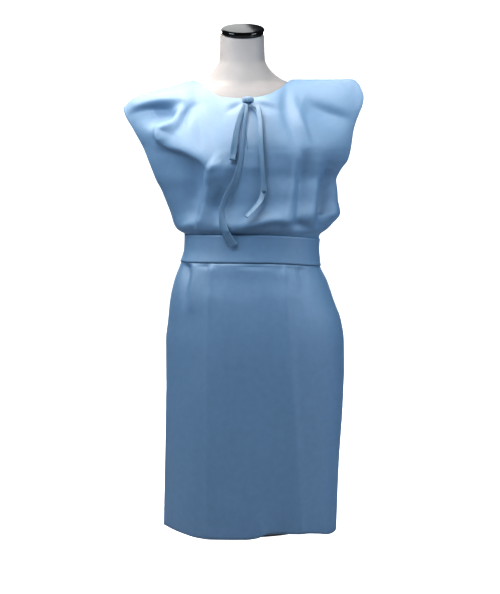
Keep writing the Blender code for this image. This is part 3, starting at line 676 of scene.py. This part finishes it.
def crumple(points, seed):
    """Faint unevenness of the cloth, longer down the cloth than across it."""
    (broad, broad_across, broad_down), (fine, fine_across, fine_down) = BROAD_CRUMPLE, FINE_CRUMPLE
    stands = [
        broad * noise.noise(Vector((x / broad_across, y / broad_across, z / broad_down + seed)))
        + fine * noise.noise(Vector((x / fine_across + seed, y / fine_across, z / fine_down)))
        for x, y, z in points.reshape(-1, 3)
    ]
    return np.array(stands).reshape(points.shape[:-1])


def grid_normals(points, face):
    """Directions out of the cloth, at each point of a panel."""
    normals = unit(np.cross(np.gradient(points, axis=1), np.gradient(points, axis=0)))
    return normals if face == "front" else -normals


def panel(face):
    """The outer points of the front or the back, from the hem up."""
    columns, rows, chest, folds, seed = PANELS[face]
    levels = bands(rows)
    across = places_across(columns)
    lower = lower_rows(across, levels, face)
    outer = np.concatenate([lower, chest_rows(across, lower[-1], chest, face)])
    outer = slacken(outer, across) if face == "front" else outer
    place = np.arange(len(outer))[:, None]
    up_chest = np.clip((place - len(levels) + 1) / chest, 0, 1)
    level = np.concatenate([levels, np.full(chest, levels[-1])])[:, None]
    calm = (1 - np.abs(across) ** FOLDS_SIDE_FADE) * (1 - up_chest**FOLDS_TOP_FADE)
    calm = calm * soft_step(from_belt(level), 0, FOLDS_FADE_NEAR_BELT)
    stands = fold_height(outer[..., 0], outer[..., 2], folds) + crumple(outer, seed)
    return outer + grid_normals(outer, face) * (stands * calm)[..., None]


# Meshes


def cut_places(grid):
    """Where a grid's columns and rows lie on the flat cloth, in metres."""
    wide = np.linalg.norm(np.diff(grid, axis=1), axis=-1).mean(axis=0)
    tall = np.linalg.norm(np.diff(grid, axis=0), axis=-1).mean(axis=1)
    return places_along(wide) * MM, places_along(tall) * MM


def store_cut(mesh, cut):
    """Each point's place in the flat cloth, which the weave follows."""
    stored = mesh.attributes.new("cut", "FLOAT_VECTOR", "POINT")
    stored.data.foreach_set("vector", np.array(cut, np.float32).ravel())


def sheet_mesh(name, grid, slit=None):
    """A single sheet over a grid of points, with its cut stored as lengths along the cloth.

    A slit (column, row, gap) parts the column above the row.
    """
    column, first, gap = slit or (-1, len(grid), 0)
    rows, columns = grid.shape[:2]
    across, up = cut_places(grid)
    points, cut, index = [], [], {}

    def corner(row, col, half):
        parted = col == column and row > first
        key = (row, col, half if parted else 0)
        if key not in index:
            index[key] = len(points)
            open_by = gap * (row - first) / (rows - 1 - first) if parted else 0
            points.append((grid[row, col] + (half * open_by / 2, 0, 0)) * MM)
            cut.append((across[col], up[row], 0))
        return index[key]

    faces = []
    for row in range(rows - 1):
        for col in range(columns - 1):
            half = -1 if col < column else 1
            ring = ((row, col), (row, col + 1), (row + 1, col + 1), (row + 1, col))
            faces.append(tuple(corner(r, c, half) for r, c in ring))
    mesh = bpy.data.meshes.new(name)
    mesh.from_pydata(points, [], faces)
    store_cut(mesh, cut)
    mesh.shade_smooth()
    return mesh


def new_object(name, data):
    """An object in the scene, for a mesh, a light or a camera."""
    obj = bpy.data.objects.new(name, data)
    bpy.context.scene.collection.objects.link(obj)
    return obj


def place(name, mesh, material, slot, node):
    """A piece of the object, on its body, in place of the CAD node that it stands for."""
    obj = new_object(name, mesh)
    mesh.materials.append(material)
    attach(obj, "root")
    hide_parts(node)
    return obj


def place_sheet(name, mesh, material, slot, node, thickness, offset=-1.0):
    """A piece of cloth made out of a single sheet, which is its outer face at an offset of -1."""
    piece = place(name, mesh, material, slot, node)
    solid = piece.modifiers.new("cloth", "SOLIDIFY")
    solid.thickness = thickness * MM
    solid.offset = offset
    solid.use_even_offset = True
    return piece


# Materials


class Shader:
    """A Principled material, built out of nodes."""

    def __init__(self, name, **settings):
        self.material = bpy.data.materials.new(name)
        self.material.use_nodes = True
        self.tree = self.material.node_tree
        self.principled = self.tree.nodes["Principled BSDF"]
        for key, value in settings.items():
            self.principled.inputs[key.replace("_", " ")].default_value = value

    def node(self, kind, **settings):
        """A node, with its sockets and options set by name."""
        made = self.tree.nodes.new(kind)
        for key, value in settings.items():
            socket = key.replace("_", " ")
            if socket in made.inputs:
                made.inputs[socket].default_value = value
            else:
                setattr(made, key, value)
        return made

    def link(self, source, output, socket, target=None):
        """Lead an output to a socket of the target, or of the Principled node."""
        self.tree.links.new(source.outputs[output], (target or self.principled).inputs[socket])

    def noise_at(self, coordinates, output, scale, detail=2, stretch=(1, 1, 1)):
        """A noise texture over the coordinates, stretched along its axes."""
        mapping = self.node("ShaderNodeMapping", Scale=stretch)
        self.link(coordinates, output, "Vector", mapping)
        made = self.node("ShaderNodeTexNoise", Scale=scale, Detail=detail)
        self.link(mapping, "Vector", "Vector", made)
        return made

    def ramp(self, source, output, *stops):
        """A colour ramp over a value, with its stops as (position, colour)."""
        made = self.node("ShaderNodeValToRGB")
        elements = made.color_ramp.elements
        while len(elements) < len(stops):
            elements.new(0.5)
        for element, (position, colour) in zip(elements, stops):
            element.position = position
            element.color = (*colour, 1)
        self.link(source, output, "Fac", made)
        return made

    def bump(self, height, output, strength, distance, below=None):
        """A bump, which may lie over another."""
        made = self.node("ShaderNodeBump", Strength=strength, Distance=distance)
        self.link(height, output, "Height", made)
        if below:
            self.link(below, "Normal", "Normal", made)
        return made


def nonwoven(name, light, dark):
    """Bonded nonwoven cloth: a cloudy web of fibres with rows of small pressed bond points."""
    shader = Shader(name, Roughness=0.72, IOR=1.8, Specular_IOR_Level=1)
    cut = shader.node("ShaderNodeAttribute", attribute_name="cut")
    clouds = shader.noise_at(cut, "Vector", 60, detail=4)
    fibres = shader.noise_at(cut, "Vector", 900, detail=3, stretch=(1, 0.35, 1))
    bonds = shader.node("ShaderNodeTexVoronoi", feature="F1", Scale=1 / BOND_PITCH, Randomness=0.15)
    shader.link(cut, "Vector", "Vector", bonds)
    pressed = shader.node("ShaderNodeMapRange", From_Min=0.12, From_Max=0.34)
    shader.link(bonds, "Distance", "Value", pressed)
    colour = shader.ramp(clouds, "Fac", (0.32, dark), (0.68, light))
    tint = shader.node("ShaderNodeMix", data_type="RGBA", blend_type="MULTIPLY", Factor=0.35)
    shader.link(colour, "Color", "A", tint)
    speckle = shader.ramp(fibres, "Fac", (0.35, (0.8, 0.83, 0.87)), (0.62, (1, 1, 1)))
    shader.link(speckle, "Color", "B", tint)
    shader.link(tint, "Result", "Base Color")
    rough = shader.node("ShaderNodeMapRange", To_Min=0.66, To_Max=0.8)
    shader.link(bonds, "Distance", "Value", rough)
    shader.link(rough, "Result", "Roughness")
    web = shader.bump(fibres, "Fac", 0.35, 0.0004)
    points = shader.bump(pressed, "Result", 0.25, 0.0003, below=web)
    shader.link(points, "Normal", "Normal")
    return shader.material


def form_cover():
    """Smooth off-white jersey, drawn over the form."""
    shader = Shader("form_cover", Roughness=0.55, Specular_IOR_Level=0.35, Sheen_Weight=0.1)
    where = shader.node("ShaderNodeTexCoord")
    knit = shader.noise_at(where, "Object", 1400, detail=2, stretch=(1, 1, 0.5))
    clouds = shader.noise_at(where, "Object", 25, detail=3)
    colour = shader.ramp(clouds, "Fac", (0.3, (0.205, 0.222, 0.245)), (0.7, (0.225, 0.242, 0.265)))
    shader.link(colour, "Color", "Base Color")
    bump = shader.bump(knit, "Fac", 0.15, 0.0003)
    shader.link(bump, "Normal", "Normal")
    return shader.material


def cap_plastic():
    """Polished black plastic with a few faint scuffs."""
    shader = Shader(
        "cap_plastic", Roughness=0.2, Specular_IOR_Level=0.5, Coat_Weight=0.3, Coat_Roughness=0.12
    )
    where = shader.node("ShaderNodeTexCoord")
    scuffs = shader.noise_at(where, "Object", 160, detail=5, stretch=(1, 0.3, 1))
    colour = shader.ramp(scuffs, "Fac", (0.4, (0.01, 0.01, 0.011)), (0.7, (0.016, 0.016, 0.017)))
    shader.link(colour, "Color", "Base Color")
    rough = shader.node("ShaderNodeMapRange", To_Min=0.07, To_Max=0.15)
    shader.link(scuffs, "Fac", "Value", rough)
    shader.link(rough, "Result", "Roughness")
    return shader.material


def grained(shader, grain, dark, light, strength, distance):
    """A fine grain, of a scale, a detail and a stretch, that shows in the colour and as a bump."""
    where = shader.node("ShaderNodeTexCoord")
    lines = shader.noise_at(where, "Object", *grain)
    colour = shader.ramp(lines, "Fac", (0.3, dark), (0.7, light))
    shader.link(colour, "Color", "Base Color")
    bump = shader.bump(lines, "Fac", strength, distance)
    shader.link(bump, "Normal", "Normal")
    return shader.material


def pole_metal():
    """Brushed steel tube, its brushing round it."""
    shader = Shader("pole_metal", Metallic=1, Roughness=0.3)
    brushing = (300, 3, (0.2, 0.2, 6))
    return grained(shader, brushing, (0.5, 0.51, 0.53), (0.62, 0.63, 0.65), 0.1, 0.0002)


def base_metal():
    """White powder-coated plate, with the coat's fine orange peel."""
    shader = Shader("base_metal", Roughness=0.45)
    return grained(shader, (500, 2), (0.78, 0.78, 0.77), (0.83, 0.83, 0.82), 0.2, 0.0003)


# The gown's pieces


def build_panels(cloth):
    """The front, with its slit under the bow, and the back. Returns the front's outer points."""
    front, back = panel("front"), panel("back")
    middle = front.shape[1] // 2
    height = front[:, middle, 2]
    first = int(np.argmin(np.abs(height - (height[-1] - SLIT_LENGTH))))
    for face, grid, slit in (("front", front, (middle, first, SLIT_GAP)), ("back", back, None)):
        mesh = sheet_mesh(f"gown_{face}", grid, slit)
        if face == "back":
            mesh.flip_normals()
        piece = place_sheet(f"gown_{face}", mesh, cloth, "gown_cloth", f"{face}_panel", CLOTH)
    return front


def belt_rows(face):
    """The panel's own calm rows under the belt."""
    columns, rows = PANELS[face][:2]
    under_belt = np.linspace(BELT_BOTTOM, BELT_TOP - BELT_BELOW_TOP, BELT_ROWS)
    levels = np.concatenate([under_belt, [bands(rows)[-1]]])
    return lower_rows(places_across(columns), levels, face)[:-1]


def build_belt(cloth):
    """One strip round both panels, its end lying over its start at the back."""
    back, front = belt_rows("back"), belt_rows("front")
    middle = back.shape[1] // 2
    start = back[:, middle + BELT_LAP_COLUMNS : 0 : -1]
    end = back[:, -2 : middle - BELT_LAP_COLUMNS - 1 : -1]
    path = np.concatenate([start, front, end], axis=1)
    steps = unit(np.diff(path, axis=1))
    along = np.concatenate([steps[:, :1], steps[:, :-1] + steps[:, 1:], steps[:, -1:]], axis=1)
    outward = unit(np.stack([along[..., 1], -along[..., 0], np.zeros(path.shape[:2])], axis=-1))
    past_lap = np.arange(path.shape[1])[::-1] - 2 * (BELT_LAP_COLUMNS + 1)
    over = (BELT_CLOTH + BELT_LIFT) * (1 - soft_step(past_lap, 0, BELT_LAP_RISE))
    wave = [
        BELT_WAVE * noise.noise(Vector((x / BELT_WAVE_AROUND, y / BELT_WAVE_AROUND, z / BELT_WAVE_DOWN)))
        for x, y, z in path[0]
    ]
    lift = BELT_LIFT + BELT_CLOTH + over + BELT_WAVE + np.array(wave)
    grid = path + outward * lift[:, None]
    mesh = sheet_mesh("gown_belt", grid)
    piece = place_sheet("gown_belt", mesh, cloth, "belt_cloth", "belt", BELT_CLOTH)


# The bow


def tree_of(grid):
    """A grid's surface, to lay the ribbons on."""
    rows, columns = grid.shape[:2]
    faces = [
        (r * columns + c, r * columns + c + 1, (r + 1) * columns + c + 1, (r + 1) * columns + c)
        for r in range(rows - 1)
        for c in range(columns - 1)
    ]
    return BVHTree.FromPolygons([Vector(p) for p in grid.reshape(-1, 3)], faces)


def cloth_behind(tree, x, z):
    """The point and the normal of the cloth behind a place, seen from the front."""
    spot, normal, _, _ = tree.ray_cast(Vector((x, IN_FRONT, z)), Vector((0, 1, 0)))
    return spot, normal


def ribbon_line(tree, rows, count):
    """Points down a ribbon clear of the cloth behind it, its across, facing and width."""
    places = places_along(np.hypot(np.diff(rows["x"]), np.diff(rows["z"])))
    at = np.linspace(0, places[-1], count)
    x, z, lift, width, turn = (smooth_curve(places, rows[name], at) for name in rows)
    turn = np.radians(turn)
    lift = lift + np.abs(np.sin(turn)) * width / 2
    cloth, facing = np.empty((3, count)), np.zeros((count, 3))
    for edge, side in enumerate((-0.5, 0, 0.5)):
        for i in range(count):
            shift = side * width[i] * math.cos(turn[i])
            spot, normal = cloth_behind(tree, x[i] + shift, z[i])
            cloth[edge, i] = spot.y
            facing[i] += np.array(normal if normal.y < 0 else -normal)
    reach = count // SPAN_SHARE
    furthest = np.pad(cloth.min(axis=0), 2 * reach, mode="edge")
    window = np.lib.stride_tricks.sliding_window_view(furthest, 2 * reach + 1).min(axis=1)
    y = np.convolve(window, np.ones(2 * reach + 1) / (2 * reach + 1), "valid") - lift
    points = np.stack([x, y, z], axis=-1)
    along = unit(np.gradient(points, axis=0))
    across = unit(np.cross(along, unit(facing * FACING_FOLLOWS)))
    facing = unit(np.cross(across, along))
    cosine, sine = np.cos(turn)[:, None], np.sin(turn)[:, None]
    return points, across * cosine + facing * sine, facing * cosine - across * sine, width


def pleats(share, depth):
    """Small pleats that run out of the knot and die away down a ribbon."""
    fade = np.exp(-share * PLEATS_FADE)[:, None]
    return depth * fade * np.cos(TIE_PLACES[None, :] * math.pi * PLEATS_WAVES)


def place_ribbon(name, line, widths, sides, facing, stands, cloth):
    """A ribbon of the bow, in place of the tie's solid of that name. It stands off its line a little."""
    grid = line[:, None] + sides[:, None] * (widths[:, None] * TIE_PLACES / 2)[..., None]
    grid = grid + facing[:, None] * stands[..., None]
    mesh = sheet_mesh(name, grid)
    piece = place_sheet(f"bow_{name}", mesh, cloth, "tie_cloth", name, TIE_CLOTH, offset=0.0)


def build_tail(name, tree, rows, count, cloth):
    """A hanging end of the tie."""
    line, across, facing, width = ribbon_line(tree, rows, count)
    stands = TIE_CURL * (1 - TIE_PLACES**2) + pleats(np.linspace(0, 1, count), TAIL_PLEATS)
    place_ribbon(name, line, width, across, facing, stands, cloth)


def build_loop(name, tree, rows, count, cloth):
    """A ribbon that runs down and comes back up before itself, as the bow's loops do."""
    down, across, facing, width = ribbon_line(tree, rows, count)
    share = np.linspace(0, 1, count)
    spread = LOOP_SPREAD * (LOOP_PINCH + (1 - LOOP_PINCH) * np.sin(share * math.pi) ** LOOP_SWELL)
    spread = np.where(share > LOOP_END, np.maximum(spread, LOOP_SPREAD * LOOP_END_SPREAD), spread)
    up = down + facing * spread[:, None]
    out = unit(down[-1] - down[-2])
    middle, half = (down[-1] + up[-1]) / 2, (up[-1] - down[-1]) / 2
    bend = [
        middle - half * math.cos(angle) + out * math.sin(angle) * spread[-1] * LOOP_BEND
        for angle in np.linspace(0, math.pi, LOOP_BEND_STEPS)[1:-1]
    ]
    line = np.concatenate([down, bend, up[::-1]])
    sides, widths, full = (
        np.concatenate([part, [part[-1]] * len(bend), part[::-1]]) for part in (across, width, share)
    )
    inward = unit(np.cross(unit(np.gradient(line, axis=0)), sides))
    stands = TIE_CLOTH / 2 + pleats(full, LOOP_PLEATS)
    place_ribbon(name, line, widths, sides, inward, stands, cloth)


def build_knot(tree, cloth):
    """The wrapped middle of the bow, with the wrap's creases round it."""
    x, z = KNOT_PLACE
    behind = min(cloth_behind(tree, x, z + rise)[0].y for rise in KNOT_BEHIND)
    middle = Vector((x, behind - KNOT_SIZE[1] / 2 - KNOT_LIFT, z))
    shape = bmesh.new()
    bmesh.ops.create_icosphere(shape, subdivisions=5, radius=1)
    cut = []
    for point in shape.verts:
        way = point.co.copy()
        square = sum(abs(part) ** KNOT_SQUARE for part in way) ** (1 / KNOT_SQUARE)
        groove = (1 + math.cos(way.x * KNOT_CREASE_TURNS + way.z * KNOT_CREASE_SLANT)) / 2
        shrink = 1 - KNOT_CREASE * groove * math.sqrt(1 - abs(way.x))
        point.co = Vector(part / square * size / 2 * shrink for part, size in zip(way, KNOT_SIZE))
        point.co = (point.co + middle) * MM
        cut.append((way.x * KNOT_CUT_WIDE, math.atan2(way.z, way.y) * KNOT_CUT_ROUND, 0))
    mesh = bpy.data.meshes.new("knot")
    shape.to_mesh(mesh)
    shape.free()
    store_cut(mesh, cut)
    mesh.shade_smooth()
    place("bow_knot", mesh, cloth, "tie_cloth", "tie_knot")


def build_bow(front, cloth):
    """The bow on the front, with a count of points down each ribbon."""
    tree = tree_of(front)
    build_loop("tie_loop_left", tree, LOOP_LEFT, 40, cloth)
    build_loop("tie_loop_right", tree, LOOP_RIGHT, 56, cloth)
    build_tail("tie_tail_left", tree, TAIL_LEFT, 96, cloth)
    build_tail("tie_tail_right", tree, TAIL_RIGHT, 80, cloth)
    build_knot(tree, cloth)


# The dress form


def ring_piece(name, rings, material, slot, node):
    """A closed piece through rings of points, with its sharper edges kept."""
    count, sides = rings.shape[:2]
    faces = [tuple(reversed(range(sides))), tuple(range((count - 1) * sides, count * sides))]
    for low in range(0, (count - 1) * sides, sides):
        for side in range(sides):
            after = (side + 1) % sides
            faces.append((low + side, low + after, low + sides + after, low + sides + side))
    mesh = bpy.data.meshes.new(name)
    mesh.from_pydata(rings.reshape(-1, 3) * MM, [], faces)
    mesh.shade_smooth()
    mesh.set_sharp_from_angle(angle=math.radians(SHARP_EDGE))
    place(name, mesh, material, slot, node)


def build_form():
    """The padded torso and neck, through the same rings as its solid."""
    places = np.arange(len(FORM["height"]), dtype=float)
    at = np.linspace(0, places[-1], FORM_RINGS)
    columns = [smooth_curve(places, column, at) for column in FORM.values()]
    turn = np.linspace(0, 2 * math.pi, FORM_SIDES, endpoint=False)
    cosine, sine = np.cos(turn), np.sin(turn)
    rings = []
    for height, middle, half, front, back, flat, rounding, tilt in zip(*columns):
        x = half * cosine
        y = np.where(sine < 0, -front, back) * (1 - np.abs(cosine) ** flat) ** rounding
        lean = math.radians(tilt)
        rings.append(np.stack([x + middle, y * math.cos(lean), height + y * math.sin(lean)], axis=-1))
    ring_piece("form_torso", np.array(rings), form_cover(), "form_cover", "dress_form")


def build_cap():
    """A low round cap, turned from its edge's profile, on the neck's tilted top."""
    height, tilt = FORM["height"][-1], FORM["tilt"][-1]
    profile = [(CAP_HALF - CAP_CHAMFER, 0), (CAP_HALF, CAP_CHAMFER)]
    for bend in np.linspace(0, math.pi / 2, CAP_EDGE_RINGS):
        half = CAP_HALF - CAP_EDGE * (1 - math.cos(bend))
        profile.append((half, CAP_THICK - CAP_EDGE * (1 - math.sin(bend))))
    for share in np.linspace(0, 1, CAP_TOP_RINGS)[1:]:
        half = (CAP_HALF - CAP_EDGE) * (1 - share) + CAP_CENTRE * share
        rise = CAP_CROWN_RISE * (1 - (half / (CAP_HALF - CAP_EDGE)) ** 2)
        profile.append((half, CAP_THICK + rise))
    turn = np.linspace(0, 2 * math.pi, CAP_SIDES, endpoint=False)
    lean = Matrix.Rotation(math.radians(tilt), 3, "X")
    rings = []
    for half, rise in profile:
        x, y = half * np.cos(turn), half * CAP_DEEPER * np.sin(turn)
        flat = np.stack([x, y, np.full(CAP_SIDES, rise + CAP_GAP)], axis=-1)
        rings.append(flat @ np.array(lean).T + (CAP_MIDDLE, 0, height))
    ring_piece("form_cap", np.array(rings), cap_plastic(), "cap_plastic", "neck_cap")


def finish_stand(nodes):
    """The stand's own solids stay, with finished surfaces."""
    for part, material in (("pole", pole_metal()), ("base", base_metal())):
        solid = nodes[f"stand_{part}"]
        solid.data.materials.clear()
        solid.data.materials.append(material)


# Studio


def build_floor():
    """A plain pale floor, which the camera sees as white as the photograph's ground."""
    mesh = bpy.data.meshes.new("floor")
    half, below = 6.0, -0.0006
    corners = [(-half, -half, below), (half, -half, below), (half, half, below), (-half, half, below)]
    mesh.from_pydata(corners, [], [(0, 1, 2, 3)])
    floor = new_object("floor", mesh)
    shader = Shader("floor", Base_Color=(0.48, 0.5, 0.54, 1), Roughness=0.9, Specular_IOR_Level=0)
    shader.principled.inputs["Emission Color"].default_value = (1, 1, 1, 1)
    seen = shader.node("ShaderNodeLightPath")
    shader.link(seen, "Is Camera Ray", "Emission Strength")
    mesh.materials.append(shader.material)


def build_lights():
    """Soft lights that the camera doesn't see."""
    all_but_cap = bpy.data.collections.new("cap_out_of_the_warm_lights")
    all_but_cap.objects.link(bpy.data.objects["form_cap"])
    all_but_cap.collection_objects[0].light_linking.link_state = "EXCLUDE"
    for name, place_at, aim, size, power, colour, on_cap in LIGHTS:
        light = bpy.data.lights.new(name, "AREA")
        light.shape = "RECTANGLE"
        light.size, light.size_y = size
        light.energy = power
        light.color = colour
        obj = new_object(name, light)
        obj.visible_camera = False
        obj.light_linking.receiver_collection = None if on_cap else all_but_cap
        obj.location = place_at
        obj.rotation_euler = (Vector(aim) - Vector(place_at)).to_track_quat("-Z", "Y").to_euler()


def build_world():
    """White behind the object, and a faint bluish light all round it."""
    world = bpy.data.worlds.new("studio")
    bpy.context.scene.world = world
    world.use_nodes = True
    nodes, links = world.node_tree.nodes, world.node_tree.links
    nodes.clear()
    path = nodes.new("ShaderNodeLightPath")
    mix = nodes.new("ShaderNodeMixShader")
    out = nodes.new("ShaderNodeOutputWorld")
    for socket, colour, strength in ((1, (0.8, 0.9, 1, 1), 0.05), (2, (1, 1, 1, 1), 1)):
        background = nodes.new("ShaderNodeBackground")
        background.inputs["Color"].default_value = colour
        background.inputs["Strength"].default_value = strength
        links.new(background.outputs["Background"], mix.inputs[socket])
    links.new(path.outputs["Is Camera Ray"], mix.inputs["Fac"])
    links.new(mix.outputs["Shader"], out.inputs["Surface"])


def build_camera():
    """The camera at the photograph's place, and its contrast."""
    scene = bpy.context.scene
    data = bpy.data.cameras.new("camera")
    data.lens = CAMERA_LENS
    camera = new_object("camera", data)
    camera.location = CAMERA_PLACE
    camera.rotation_euler = (math.radians(90 - CAMERA_PITCH), 0, 0)
    scene.camera = camera
    scene.view_settings.view_transform = "Standard"
    scene.view_settings.look = "High Contrast"


def main():
    for obj in list(bpy.data.objects):
        bpy.data.objects.remove(obj)
    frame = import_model()
    front = build_panels(nonwoven("gown_cloth", *GOWN_BLUE))
    build_belt(nonwoven("belt_cloth", *GOWN_BLUE))
    # The ties get the darker blue, which is painted shade on the gown's own cloth
    build_bow(front, nonwoven("tie_cloth", *TIE_SHADED_BLUE))
    build_form()
    build_cap()
    finish_stand(frame["nodes"])
    build_floor()
    build_lights()
    build_world()
    build_camera()


main()
